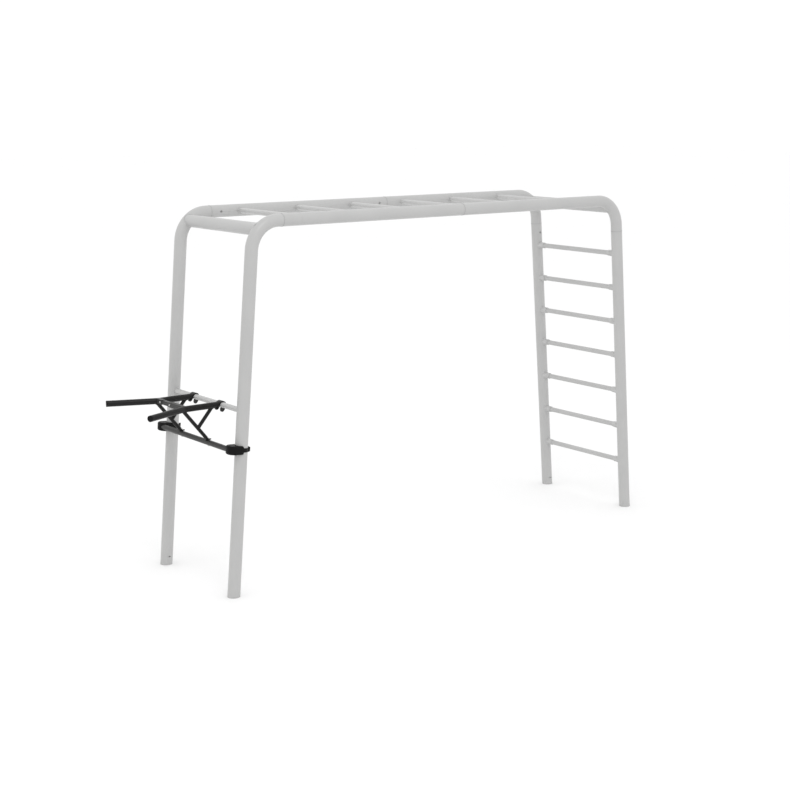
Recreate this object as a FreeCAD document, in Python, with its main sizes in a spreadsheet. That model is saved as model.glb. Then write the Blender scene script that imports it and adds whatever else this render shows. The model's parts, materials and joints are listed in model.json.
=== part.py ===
"""Garden monkey bars with a strap-on dip-bar attachment, as a parametric FreeCAD document.

Millimetres, +Z up. The origin is on the ground, midway between the four feet. +X runs along
the top rails towards the ladder end. "near" pieces lie at -Y, and most "far" pieces are
their mirror images at +Y.
"""
import FreeCAD, Part
import math
import os

import Sketcher

Vector = FreeCAD.Vector
Rotation = FreeCAD.Rotation
TO_INSIDE = Rotation(Vector(1, 0, 0), -90)  # turns a cylinder's own Z to +Y

# Driving dimensions: alias, value in mm or degrees.
DRIVING = {
    # frame
    "tube_od": 76.0, "tube_wall": 2.0, "rail_height": 2190.0, "half_span": 1461.0,
    "half_gauge": 402.5, "leg_splay": 4.68, "bend_radius": 180.0,
    # seams between frame tubes, with the spigot, bolt and stop bead of each
    "left_seam_x": -1270.0, "mid_seam_x": 84.0, "leg_seam_z": 1980.0, "seam_gap": 2.5,
    "ring_proud": 1.0, "spigot_fit": 0.15, "spigot_wall": 3.0, "socket_depth": 123.0,
    "spigot_root": 60.0, "bend_spigot_root": 20.0, "seam_bolt_inset": 65.0,
    "bead_depth": 0.8, "bead_radius": 3.0,
    # bolts
    "bolt_shank": 8.0, "bolt_hole": 8.6, "bolt_head": 15.0, "bolt_head_height": 4.5,
    "bolt_reach": 14.0, "bolt_nut_height": 6.0, "seat_fit": 0.1,
    # rungs and bars between the two sides
    "rung_od": 33.0, "rung_wall": 2.5, "rung_hole": 34.0, "rung_half_length": 433.0,
    "rung_pitch": 426.0, "first_rung_z": 338.0, "low_rung_pitch": 255.4,
    "high_rung_pitch": 239.4, "tumble_z": 1103.0,
    "top_collar_od": 37.0, "top_collar_reach": 8.0,
    "collar_root_od": 46.0, "collar_mouth_od": 40.0, "collar_reach": 42.0,
    "collar_fit": 0.1, "collar_sink": 8.0, "crossbar_trim": 6.0,
    # feet
    "foot_cap_height": 7.0, "foot_plug_depth": 25.0, "foot_plug_fit": 0.3,
    "anchor_z": 54.0, "anchor_hole": 14.0, "grommet_bore": 10.0, "grommet_rim": 19.0,
    "grommet_proud": 1.5, "grommet_fit": 0.1, "grommet_barrel": 8.0, "grommet_overlap": 1.0,
    # dip-bar attachment
    "arm_od": 37.0, "arm_wall": 2.5, "arm_z": 1104.0, "arm_half_gap": 155.0,
    "arm_bend_x": -1800.0, "arm_end_x": -2076.0, "arm_end_y": -265.0,
    "arm_bend_radius": 90.0, "arm_cap_length": 7.0,
    "arm_plug_depth": 20.0, "arm_plug_fit": 0.2, "hook_width": 42.0, "hook_thickness": 7.0,
    "hook_fit": 0.4, "hook_drop": 40.0, "hook_turn": 24.0, "arm_cope_start": 10.0,
    "strut_od": 22.0, "strut_wall": 2.0,
    "lower_tube_x": -1643.0, "lower_tube_z": 886.0, "lower_tube_half": 418.0,
    "main_top_x": -1813.0, "main_foot_x": -1655.0, "main_foot_rise": 12.0,
    "short_top_x": -1604.0, "short_foot_x": -1707.0, "short_foot_z": 983.0,
    "strut_tab_width": 24.0, "strut_tab_thickness": 5.0, "strut_tab_back": 18.0,
    "strut_tab_front": 8.0, "strut_foot_length": 16.0, "strut_foot_height": 14.0,
    "strut_bolt_ahead": 4.0,
    "tie_outer_height": 30.0, "tie_outer_depth": 24.0, "tie_wall": 2.0, "tie_fit": 0.5,
    "tie_z": 1108.0, "tie_x": -1800.0, "tie_overlap_y": 6.0, "tie_sleeve_bolt_y": -12.0,
    "tie_lug_y": 103.0, "tie_bolt_head": 13.0, "tie_bolt_head_height": 5.0,
    "tie_bolt_shank": 6.0, "tie_bolt_hole": 6.6, "tie_nut_height": 5.0,
    "tie_lug_half": 16.0, "tie_inner_lead": 30.0, "weld_fit": 0.1,
    # saddles, straps and cam buckles
    "saddle_half_height": 26.0, "saddle_inner": 44.5, "saddle_outer": 45.0,
    "saddle_front": 22.0, "saddle_back_x": -9.0, "saddle_front_round": 42.0,
    "saddle_back_round": 3.0, "saddle_rim_round": 10.0,
    "saddle_bore": 77.0, "saddle_tube_bore": 33.4, "saddle_tube_depth": 60.5,
    "slot_inside": 36.0, "slot_outside": 40.9, "slot_half_height": 13.0,
    "slot_depth": 24.0, "strap_width": 25.0, "strap_thickness": 2.0, "strap_fit": 0.4,
    "strap_run": 28.0, "buckle_width": 33.0, "buckle_thickness": 2.0,
    "buckle_length": 34.0, "ear_thickness": 2.5, "lever_length": 27.0,
    "lever_thickness": 3.0, "lever_gap": 0.5, "cam_radius": 4.0, "pin_diameter": 4.0,
    "pin_fit": 0.05, "pin_inset": 6.0, "pin_overhang": 1.0, "pin_head_rim": 1.2,
    "ear_half": 6.0, "buckle_fit": 0.3, "cam_gap": 0.5,
}
MONKEY_RUNGS = 6
LADDER_RUNGS = 7


def derived(d):
    """Sizes and places that follow from the driving dimensions."""
    splay = math.radians(d["leg_splay"])
    turn = math.radians(90.0 - d["leg_splay"])
    tangent = d["bend_radius"] * math.tan(turn / 2)
    lean = math.tan(splay)
    out = {
        "tube_id": d["tube_od"] - 2 * d["tube_wall"],
        "rung_id": d["rung_od"] - 2 * d["rung_wall"],
        "arm_id": d["arm_od"] - 2 * d["arm_wall"],
        "strut_id": d["strut_od"] - 2 * d["strut_wall"],
        "foot_x": d["half_span"] + d["rail_height"] * lean,
        "bend_x": d["half_span"] - tangent,
        "bend_z": d["rail_height"] - d["bend_radius"],
    }
    out["crossbar_x"] = -(out["bend_x"] + d["bend_radius"] * math.sin(turn / 2))
    out["crossbar_z"] = out["bend_z"] + d["bend_radius"] * math.cos(turn / 2)
    out["tumble_x"] = -(out["foot_x"] - d["tumble_z"] * lean)
    out["cap_top"] = d["foot_cap_height"] / math.cos(splay)
    out["leg_seam_s"] = d["leg_seam_z"] / math.cos(splay)
    # the lower tube's axis seen from the strapped leg: how far up the leg, how far in front
    ahead = d["lower_tube_x"] + out["foot_x"]
    out["saddle_s"] = ahead * math.sin(splay) + d["lower_tube_z"] * math.cos(splay)
    out["saddle_tube_x"] = ahead * math.cos(splay) - d["lower_tube_z"] * math.sin(splay)
    out["saddle_front_x"] = out["saddle_tube_x"] - d["saddle_front"]
    return out


D = dict(DRIVING)
D.update(derived(DRIVING))
SPLAY = math.radians(D["leg_splay"])


def leg_point(side, s):
    """The point s up a leg's centreline, measured from the ground; side is -1 or +1 in X."""
    return side * (D["foot_x"] - s * math.sin(SPLAY)), s * math.cos(SPLAY)


def ladder_heights():
    """The ladder rungs' heights: three wide steps, then three slightly closer ones."""
    heights = [D["first_rung_z"]]
    for step in range(1, LADDER_RUNGS):
        low_half = step <= LADDER_RUNGS // 2
        heights.append(heights[-1] + D["low_rung_pitch" if low_half else "high_rung_pitch"])
    return heights


def monkey_places():
    """The overhead rungs' X places, centred on the frame."""
    first = -D["rung_pitch"] * (MONKEY_RUNGS - 1) / 2
    return [first + D["rung_pitch"] * index for index in range(MONKEY_RUNGS)]


for number, height in enumerate(ladder_heights(), start=1):
    D[f"ladder_{number}_s"] = height / math.cos(SPLAY)
for number, place_x in enumerate(monkey_places(), start=1):
    D[f"monkey_{number}_x"] = place_x
D["leg_bolt_s"] = D["leg_seam_s"] - D["seam_bolt_inset"]
D["leg_bead_s"] = D["leg_seam_s"] - D["socket_depth"]
D["leg_tube_length"] = D["leg_seam_s"] - D["seam_gap"] / 2 - D["cap_top"]
D["anchor_s"] = D["anchor_z"] / math.cos(SPLAY)
D["left_bolt_x"] = D["left_seam_x"] + D["seam_bolt_inset"]
D["mid_bolt_x"] = D["mid_seam_x"] - D["seam_bolt_inset"]
D["left_bead_x"] = D["left_seam_x"] + D["socket_depth"]
D["mid_bead_x"] = D["mid_seam_x"] - D["socket_depth"]
D["mid_rail_start"] = D["left_seam_x"] + D["seam_gap"] / 2
D["mid_rail_length"] = D["mid_seam_x"] - D["left_seam_x"] - D["seam_gap"]
D["anchor_x"] = -leg_point(1, D["anchor_s"])[0]

doc = FreeCAD.newDocument("monkey_bars")
sheet = doc.addObject("Spreadsheet::Sheet", "Dims")
for row, (alias, number) in enumerate(D.items(), start=1):
    sheet.set(f"A{row}", alias)
    sheet.set(f"B{row}", str(number))
    sheet.setAlias(f"B{row}", alias)
doc.recompute()
parts = []


# ---------------------------------------------------------------- building blocks

def bind(obj, **formulas):
    """Bind properties to sheet formulas; a double underscore in a name stands for a dot."""
    for prop, formula in formulas.items():
        obj.setExpression(prop.replace("__", "."), formula)


def add_names(**values):
    """Add dimensions that are worked out while building to the sheet."""
    for alias, number in values.items():
        D[alias] = number
        line = len(D)
        sheet.set(f"A{line}", alias)
        sheet.set(f"B{line}", str(number))
        sheet.setAlias(f"B{line}", alias)
    sheet.recompute()


def keep(obj, label):
    """Name a finished sub-part and put it on the list of parts to write."""
    obj.Label = label
    parts.append(obj)
    return obj


def place(obj, x="0", y="0", z="0", rotation=None, turn=None):
    """Place an object by formulas, with a fixed rotation or a turn about Y in degrees."""
    if rotation is not None:
        obj.Placement = FreeCAD.Placement(Vector(), rotation)
    if turn is not None:
        obj.Placement = FreeCAD.Placement(Vector(), Rotation(Vector(0, 1, 0), 1))
        bind(obj, Placement__Rotation__Angle=f"{turn} * 1 deg")
    bind(obj, Placement__Base__x=x, Placement__Base__y=y, Placement__Base__z=z)
    return obj


def cylinder(radius, length, **where):
    """A Part cylinder along its own Z, sized by formulas."""
    obj = doc.addObject("Part::Cylinder", "cylinder")
    bind(obj, Radius=radius, Height=length)
    return place(obj, **where)


def cone(radius_1, radius_2, length, **where):
    obj = doc.addObject("Part::Cone", "cone")
    bind(obj, Radius1=radius_1, Radius2=radius_2, Height=length)
    return place(obj, **where)


def box(length, width, height, **where):
    obj = doc.addObject("Part::Box", "box")
    bind(obj, Length=length, Width=width, Height=height)
    return place(obj, **where)


def fuse(*shapes):
    obj = doc.addObject("Part::MultiFuse", "fuse")
    obj.Shapes = list(shapes)
    return obj


def cut(base, tool):
    obj = doc.addObject("Part::Cut", "cut")
    obj.Base = base
    obj.Tool = tool
    return obj


def common(first, second):
    obj = doc.addObject("Part::Common", "common")
    obj.Base = first
    obj.Tool = second
    return obj


def group(*shapes):
    obj = doc.addObject("Part::Compound", "group")
    obj.Links = list(shapes)
    return obj


def mirror(source, normal=Vector(0, 1, 0)):
    """The mirror image of a shape across a plane through the origin."""
    obj = doc.addObject("Part::Mirroring", "mirror")
    obj.Source = source
    obj.Base = Vector()
    obj.Normal = normal
    return obj


def pair(near, name):
    """Keep a near-side piece and its far-side mirror image."""
    keep(near, f"{name}_near")
    keep(mirror(near), f"{name}_far")


def new_body(name):
    return doc.addObject("PartDesign::Body", name)


def origin_plane(body, role):
    return next(item for item in body.Origin.OriginFeatures if item.Role == role)


def sketch_on(body, role, **offset):
    """A sketch on one of the body's own origin planes, shifted by formulas in x, y, z."""
    sketch = body.newObject("Sketcher::SketchObject", "sketch")
    sketch.AttachmentSupport = [(origin_plane(body, role), "")]
    sketch.MapMode = "FlatFace"
    for axis, formula in offset.items():
        sketch.setExpression(f"AttachmentOffset.Base.{axis}", formula)
    return sketch


def signed(name):
    """The value of a named dimension, or of minus one."""
    return -D[name[1:]] if name.startswith("-") else D[name]


def constrain(sketch, kind, *where_and_name):
    """Add a constraint whose value is a named dimension, or minus it."""
    *where, name = where_and_name
    index = sketch.addConstraint(Sketcher.Constraint(kind, *where, signed(name)))
    sign = "-" if name.startswith("-") else ""
    sketch.setExpression(f"Constraints[{index}]", f"{sign}Dims.{name.lstrip('-')}")


def circle(sketch, diameter, x=None, y=None):
    """A circle of a named diameter, at named coordinates or at the sketch's origin."""
    spot = Vector(D[x] if x else 0, D[y] if y else 0, 0)
    ring = sketch.addGeometry(Part.Circle(spot, Vector(0, 0, 1), D[diameter] / 2))
    constrain(sketch, "Diameter", ring, diameter)
    for kind, name in (("DistanceX", x), ("DistanceY", y)):
        if name:
            constrain(sketch, kind, -1, 1, ring, 3, name)
        else:
            axis = -2 if kind == "DistanceX" else -1
            sketch.addConstraint(Sketcher.Constraint("PointOnObject", ring, 3, axis))


def pad(body, sketch, length, symmetric=False, downwards=False):
    feature = body.newObject("PartDesign::Pad", "pad")
    feature.Profile = sketch
    feature.SideType = "Symmetric" if symmetric else "One side"
    feature.Reversed = downwards
    bind(feature, Length=length)
    return feature


def pocket(body, sketch, length, reverse=False, symmetric=False):
    """Cut a sketch out of the body, and stop if it takes nothing away."""
    doc.recompute()
    before = body.Shape.Volume
    feature = body.newObject("PartDesign::Pocket", "pocket")
    feature.Profile = sketch
    feature.SideType = "Symmetric" if symmetric else "One side"
    feature.Reversed = reverse
    bind(feature, Length=length)
    doc.recompute()
    if body.Shape.Volume >= before:
        raise ValueError(f"a pocket in {body.Name} cuts nothing")
    return feature


def inner_holes(body, holes):
    """Holes through the wall that faces the other side; holes are (x, z, diameter) names."""
    sketch = sketch_on(body, "XZ_Plane")
    for x, z, diameter in holes:
        circle(sketch, diameter, x, z)
    pocket(body, sketch, "Dims.tube_od")


def tube(name, outer, inner, length, role="XY_Plane", symmetric=False, **offset):
    """A straight tube on one of the origin planes, sized by names and a length formula."""
    body = new_body(name)
    profile = sketch_on(body, role, **offset)
    circle(profile, outer)
    if inner:
        circle(profile, inner)
    pad(body, profile, length, symmetric)
    return body


def bead(body, role, along, lift=None):
    """A shallow groove rolled round a tube; along names its place on the tube's axis."""
    offset = {"y": lift} if lift else {}
    sketch = sketch_on(body, role, **offset)
    upright = lift is None
    radius = D["tube_od"] / 2 + D["bead_radius"] - D["bead_depth"]
    spot = Vector(radius, D[along], 0) if upright else Vector(D[along], radius, 0)
    ring = sketch.addGeometry(Part.Circle(spot, Vector(0, 0, 1), D["bead_radius"]))
    constrain(sketch, "Radius", ring, "bead_radius")
    constrain(sketch, "DistanceY" if upright else "DistanceX", -1, 1, ring, 3, along)
    across = sketch.addConstraint(
        Sketcher.Constraint("DistanceX" if upright else "DistanceY", -1, 1, ring, 3, radius))
    sketch.setExpression(f"Constraints[{across}]",
                         "Dims.tube_od / 2 + Dims.bead_radius - Dims.bead_depth")
    groove = body.newObject("PartDesign::Groove", "bead")
    groove.Profile = sketch
    groove.ReferenceAxis = (sketch, ["V_Axis" if upright else "H_Axis"])
    groove.Angle = 360


def bent_tube(name, role, outer, inner, start, corner, end, radius, lift):
    """A tube with one bend, swept along a line, an arc and a line.

    start, corner and end are pairs of names in the plane of the bend; the tube starts along
    X. lift is the formula for the profile's height above the origin, if the plane is
    upright, or the plane's own height, if it is level.
    """
    body = new_body(name)
    level = role == "XY_Plane"
    spine = sketch_on(body, role, **({"z": lift} if level else {}))
    first, middle, last = [Vector(D[x], D[y], 0) for x, y in (start, corner, end)]
    inbound = (first - middle).normalize()
    outbound = (last - middle).normalize()
    reach = D[radius] / math.tan(inbound.getAngle(outbound) / 2)
    tangent_in = middle + inbound * reach
    tangent_out = middle + outbound * reach
    bisector = (inbound + outbound).normalize()
    centre = middle + bisector * math.hypot(D[radius], reach)
    halfway = centre - bisector * D[radius]
    add_names(**{f"{name}_bend_x": centre.x, f"{name}_bend_y": centre.y})
    line_in = spine.addGeometry(Part.LineSegment(first, tangent_in))
    bend = spine.addGeometry(Part.Arc(tangent_in, halfway, tangent_out))
    line_out = spine.addGeometry(Part.LineSegment(tangent_out, last))
    # a sketch counts an arc's ends anticlockwise, so a right-hand bend has them swapped
    turns_left = outbound.cross(inbound).z > 0
    arc_in, arc_out = (1, 2) if turns_left else (2, 1)
    constrain(spine, "Radius", bend, radius)
    for geometry, spot, names in ((bend, 3, (f"{name}_bend_x", f"{name}_bend_y")),
                                  (line_in, 1, start), (line_out, 2, end)):
        constrain(spine, "DistanceX", -1, 1, geometry, spot, names[0])
        constrain(spine, "DistanceY", -1, 1, geometry, spot, names[1])
    spine.addConstraint(Sketcher.Constraint("Tangent", line_in, 2, bend, arc_in))
    spine.addConstraint(Sketcher.Constraint("Tangent", bend, arc_out, line_out, 1))
    across = {"z": f"Dims.{start[0]}", "y": lift}
    if level:
        across["x"] = f"Dims.{start[1]}"
    profile = sketch_on(body, "YZ_Plane", **across)
    circle(profile, outer)
    if inner:
        circle(profile, inner)
    sweep = body.newObject("PartDesign::AdditivePipe", "sweep")
    sweep.Profile = profile
    sweep.Spine = (spine, ["Edge1", "Edge2", "Edge3"])
    return body


# ---------------------------------------------------------------- frame tubes

LEFT, RIGHT = -1, 1
NEAR_Y = "-Dims.half_gauge"


def lean_on(side):
    """Placement of a piece built along a leg's axis, at that leg's foot on the near side."""
    return {"x": f"{side} * Dims.foot_x", "y": NEAR_Y,
            "turn": f"{-side} * Dims.leg_splay"}


def up_leg(distance):
    """Placement formulas for a point on the near ladder leg's centreline."""
    return {"x": f"Dims.foot_x - {distance} * sin(Dims.leg_splay * 1 deg)",
            "z": f"{distance} * cos(Dims.leg_splay * 1 deg)"}


def build_left_legs():
    """Left legs: each runs down from a short stub on the top, round the bend to the foot."""
    foot_x, foot_z = leg_point(LEFT, D["cap_top"])
    add_names(left_start=D["left_seam_x"] - D["seam_gap"] / 2, left_corner=-D["half_span"],
              left_foot_x=foot_x, leg_foot_z=foot_z)
    leg = bent_tube("left_leg", "XZ_Plane", "tube_od", "tube_id",
                    ("left_start", "rail_height"), ("left_corner", "rail_height"),
                    ("left_foot_x", "leg_foot_z"), "bend_radius", "Dims.rail_height")
    inner_holes(leg, [("tumble_x", "tumble_z", "rung_hole"),
                      ("anchor_x", "anchor_z", "anchor_hole")])
    place(leg, y=NEAR_Y)
    pair(leg, "left_leg")


def build_mid_rails():
    """Straight left halves of the top rails, a socket for a spigot at each end."""
    rail = tube("mid_rail", "tube_od", "tube_id", "Dims.mid_rail_length", "YZ_Plane",
                y="Dims.rail_height", z="Dims.mid_rail_start")
    rungs = [(f"monkey_{n}_x", "rail_height", "rung_hole") for n in (1, 2, 3)]
    bolts = [(name, "rail_height", "bolt_hole") for name in ("left_bolt_x", "mid_bolt_x")]
    inner_holes(rail, rungs + bolts)
    for name in ("left_bead_x", "mid_bead_x"):
        bead(rail, "XZ_Plane", name, "Dims.rail_height")
    place(rail, y=NEAR_Y)
    pair(rail, "mid_rail")


def build_right_rails():
    """Right halves of the top rails, with the bend down to the ladder legs."""
    seam_x, seam_z = leg_point(RIGHT, D["leg_seam_s"] + D["seam_gap"] / 2)
    add_names(right_start=D["mid_seam_x"] + D["seam_gap"] / 2, right_corner=D["half_span"],
              right_seam_x=seam_x, right_seam_z=seam_z)
    rail = bent_tube("right_rail", "XZ_Plane", "tube_od", "tube_id",
                     ("right_start", "rail_height"), ("right_corner", "rail_height"),
                     ("right_seam_x", "right_seam_z"), "bend_radius", "Dims.rail_height")
    inner_holes(rail, [(f"monkey_{n}_x", "rail_height", "rung_hole") for n in (4, 5, 6)])
    place(rail, y=NEAR_Y)
    pair(rail, "right_rail")


def build_right_legs():
    """Ladder legs, each with a socket at the top and seven rung holes."""
    leg = tube("right_leg", "tube_od", "tube_id", "Dims.leg_tube_length", z="Dims.cap_top")
    rungs = [(None, f"ladder_{n}_s", "rung_hole") for n in range(1, LADDER_RUNGS + 1)]
    inner_holes(leg, rungs + [(None, "leg_bolt_s", "bolt_hole"),
                              (None, "anchor_s", "anchor_hole")])
    bead(leg, "XZ_Plane", "leg_bead_s")
    place(leg, **lean_on(RIGHT))
    pair(leg, "right_leg")


def build_crossbars():
    """Crossbars between the bends at each end, their ends coped to the bent tubes."""
    where = {"x": "Dims.crossbar_x", "z": "Dims.crossbar_z", "rotation": TO_INSIDE,
             "y": "Dims.crossbar_trim - Dims.half_gauge"}
    length = "2 * (Dims.half_gauge - Dims.crossbar_trim)"
    outer = cylinder("Dims.tube_od / 2", length, **where)
    inner = cylinder("Dims.tube_id / 2", length, **where)
    bends = []
    for sign in ("-", ""):
        torus = doc.addObject("Part::Torus", "bend_envelope")
        bind(torus, Radius1="Dims.bend_radius", Radius2="Dims.tube_od / 2")
        place(torus, "-Dims.bend_x", f"{sign}Dims.half_gauge", "Dims.bend_z",
              rotation=TO_INSIDE)
        bends.append(torus)
    crossbar = keep(cut(outer, fuse(inner, *bends)), "left_crossbar")
    keep(mirror(crossbar, Vector(1, 0, 0)), "right_crossbar")


# ---------------------------------------------------------------- rungs and collars

def build_rungs():
    """Overhead rungs, ladder rungs and the tumble bar: tubes caught between the two sides."""
    length = "2 * Dims.rung_half_length"
    for n in range(1, MONKEY_RUNGS + 1):
        rung = tube("rung", "rung_od", "rung_id", length, "XZ_Plane", symmetric=True)
        keep(place(rung, x=f"Dims.monkey_{n}_x", z="Dims.rail_height"), f"monkey_rung_{n}")
    for n in range(1, LADDER_RUNGS + 1):
        rung = tube("rung", "rung_od", "rung_id", length, "XZ_Plane", symmetric=True)
        up = f"Dims.ladder_{n}_s"
        place(rung, x=f"Dims.foot_x - {up} * sin(Dims.leg_splay * 1 deg)",
              z=f"{up} * cos(Dims.leg_splay * 1 deg)")
        keep(rung, f"ladder_rung_{n}")
    bar = tube("bar", "rung_od", "rung_id", length, "XZ_Plane", symmetric=True)
    keep(place(bar, x="Dims.tumble_x", z="Dims.tumble_z"), "tumble_bar")


def build_collars():
    """Plastic collars round the rungs' ends, coped to the rails and the ladder legs."""
    inside_rail = "Dims.half_gauge - Dims.tube_od / 2"
    bore, bore_length = "Dims.rung_od / 2 + Dims.collar_fit", "2 * Dims.tube_od"
    top_rings, top_bores, bells, bell_bores = [], [], [], []
    for n in range(1, MONKEY_RUNGS + 1):
        where = {"x": f"Dims.monkey_{n}_x", "y": f"-({inside_rail}) - Dims.collar_sink",
                 "z": "Dims.rail_height", "rotation": TO_INSIDE}
        top_rings.append(cylinder("Dims.top_collar_od / 2",
                                  "Dims.top_collar_reach + Dims.collar_sink", **where))
        top_bores.append(cylinder(bore, bore_length, **where))
    envelope = cylinder("Dims.tube_od / 2 + Dims.collar_fit", "2 * Dims.half_span",
                        x="-Dims.half_span", y=NEAR_Y, z="Dims.rail_height",
                        rotation=Rotation(Vector(0, 1, 0), 90))
    near = cut(fuse(*top_rings), fuse(envelope, *top_bores))
    keep(group(near, mirror(near)), "monkey_rung_collars")
    for n in range(1, LADDER_RUNGS + 1):
        up = f"Dims.ladder_{n}_s"
        where = {"x": f"Dims.foot_x - {up} * sin(Dims.leg_splay * 1 deg)",
                 "y": f"-({inside_rail}) - Dims.collar_sink",
                 "z": f"{up} * cos(Dims.leg_splay * 1 deg)", "rotation": TO_INSIDE}
        bells.append(cone("Dims.collar_root_od / 2", "Dims.collar_mouth_od / 2",
                          "Dims.collar_reach + Dims.collar_sink", **where))
        bell_bores.append(cylinder(bore, bore_length, **where))
    envelope = cylinder("Dims.tube_od / 2 + Dims.collar_fit", "Dims.leg_seam_s",
                        **lean_on(RIGHT))
    near = cut(fuse(*bells), fuse(envelope, *bell_bores))
    keep(group(near, mirror(near)), "ladder_rung_collars")


# ---------------------------------------------------------------- seams and feet

def build_seams():
    """At each seam: a spigot inside, a ring between the tubes and a bolt on the inner side."""
    along_x = Rotation(Vector(0, 1, 0), 90)
    rail = {"y": NEAR_Y, "z": "Dims.rail_height", "rotation": along_x}
    leg = {"y": NEAR_Y, "turn": "-Dims.leg_splay"}
    bore = "Dims.tube_id / 2 - Dims.spigot_fit - Dims.spigot_wall"
    plug = "Dims.tube_id / 2 - Dims.spigot_fit"
    # start of the spigot and its length, as places on the rail's or the leg's axis
    runs = [(dict(rail, x="Dims.left_seam_x - Dims.bend_spigot_root"),
             "Dims.bend_spigot_root + Dims.socket_depth"),
            (dict(rail, x="Dims.mid_seam_x - Dims.socket_depth"),
             "Dims.spigot_root + Dims.socket_depth"),
            (dict(leg, **up_leg("Dims.leg_bead_s")),
             "Dims.bend_spigot_root + Dims.socket_depth")]
    rings = [dict(rail, x="Dims.left_seam_x - Dims.seam_gap / 2"),
             dict(rail, x="Dims.mid_seam_x - Dims.seam_gap / 2"),
             dict(leg, **up_leg("(Dims.leg_seam_s - Dims.seam_gap / 2)"))]
    bolts = [{"x": "Dims.left_bolt_x", "z": "Dims.rail_height"},
             {"x": "Dims.mid_bolt_x", "z": "Dims.rail_height"},
             up_leg("Dims.leg_bolt_s")]
    near_rings = []
    for spot in rings:
        disc = cylinder("Dims.tube_od / 2 + Dims.ring_proud", "Dims.seam_gap", **spot)
        eye = cylinder(f"{plug} + Dims.seat_fit", "Dims.seam_gap", **spot)
        near_rings.append(cut(disc, eye))
    shanks, heads, bolt_ways = [], [], []
    face = "Dims.half_gauge - Dims.tube_od / 2"
    for spot in bolts:
        start = f"-({face}) - Dims.bolt_reach"
        shanks.append(cylinder("Dims.bolt_shank / 2", "Dims.bolt_reach + 2 * Dims.seat_fit",
                               y=start, rotation=TO_INSIDE, **spot))
        bolt_ways.append(cylinder("Dims.bolt_shank / 2 + Dims.seat_fit",
                                  "Dims.bolt_reach + 2 * Dims.seat_fit", y=start,
                                  rotation=TO_INSIDE, **spot))
        heads.append(cone("Dims.bolt_head / 2", "Dims.bolt_head / 3",
                          "Dims.bolt_head_height", y=f"-({face}) + Dims.seat_fit",
                          rotation=TO_INSIDE, **spot))
    near_spigots = []
    for (spot, length), bolt_way in zip(runs, bolt_ways):
        sleeve = cut(cylinder(plug, length, **spot), cylinder(bore, length, **spot))
        near_spigots.append(cut(sleeve, bolt_way))
    near_bolts = [fuse(shank, head) for shank, head in zip(shanks, heads)]
    for pieces, label in ((near_spigots, "joint_spigots"), (near_rings, "joint_rings"),
                          (near_bolts, "joint_bolts")):
        keep(group(*pieces, *[mirror(piece) for piece in pieces]), label)


def build_feet():
    """Foot caps that close the legs and stand flat, and grommets in the anchor holes."""
    deep, wide = "Dims.foot_plug_depth", "4 * Dims.tube_od"
    rim = cylinder("Dims.tube_od / 2", f"{deep} + Dims.cap_top", z=f"-{deep}")
    plug = cylinder("Dims.tube_id / 2 - Dims.foot_plug_fit", "Dims.foot_plug_depth",
                    z="Dims.cap_top")
    cap = place(fuse(rim, plug), **lean_on(LEFT))
    ground = box(wide, wide, f"2 * {deep}", x="-Dims.foot_x - 2 * Dims.tube_od",
                 y=f"{NEAR_Y} - 2 * Dims.tube_od", z=f"-2 * {deep}")
    near_left = keep(cut(cap, ground), "left_foot_cap_near")
    keep(mirror(near_left), "left_foot_cap_far")
    near_right = keep(mirror(near_left, Vector(1, 0, 0)), "right_foot_cap_near")
    keep(mirror(near_right), "right_foot_cap_far")

    face = "Dims.half_gauge - Dims.tube_od / 2"
    spot = {"x": "Dims.anchor_x", "z": "Dims.anchor_z", "rotation": TO_INSIDE}
    barrel = cylinder("Dims.anchor_hole / 2 - Dims.grommet_fit", "Dims.grommet_barrel",
                      y=f"-({face}) - Dims.grommet_barrel + Dims.grommet_overlap", **spot)
    rim = cylinder("Dims.grommet_rim / 2", "Dims.grommet_proud",
                   y=f"-({face}) + Dims.grommet_fit", **spot)
    bore = cylinder("Dims.grommet_bore / 2", "4 * Dims.grommet_barrel",
                    y=f"-({face}) - 2 * Dims.grommet_barrel", **spot)
    near_left = cut(fuse(barrel, rim), bore)
    near_right = mirror(near_left, Vector(1, 0, 0))
    keep(group(near_left, near_right, mirror(near_left), mirror(near_right)),
         "anchor_grommets")


# ---------------------------------------------------------------- dip-bar attachment

def arm_along(name, outer, inner):
    """The near dip bar's route at a given thickness: level, then bent outwards."""
    return bent_tube(name, "XY_Plane", outer, inner, ("arm_start_x", "arm_y"),
                     ("arm_bend_x", "arm_y"), ("arm_end_x", "arm_end_y"),
                     "arm_bend_radius", "Dims.arm_z")


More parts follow.
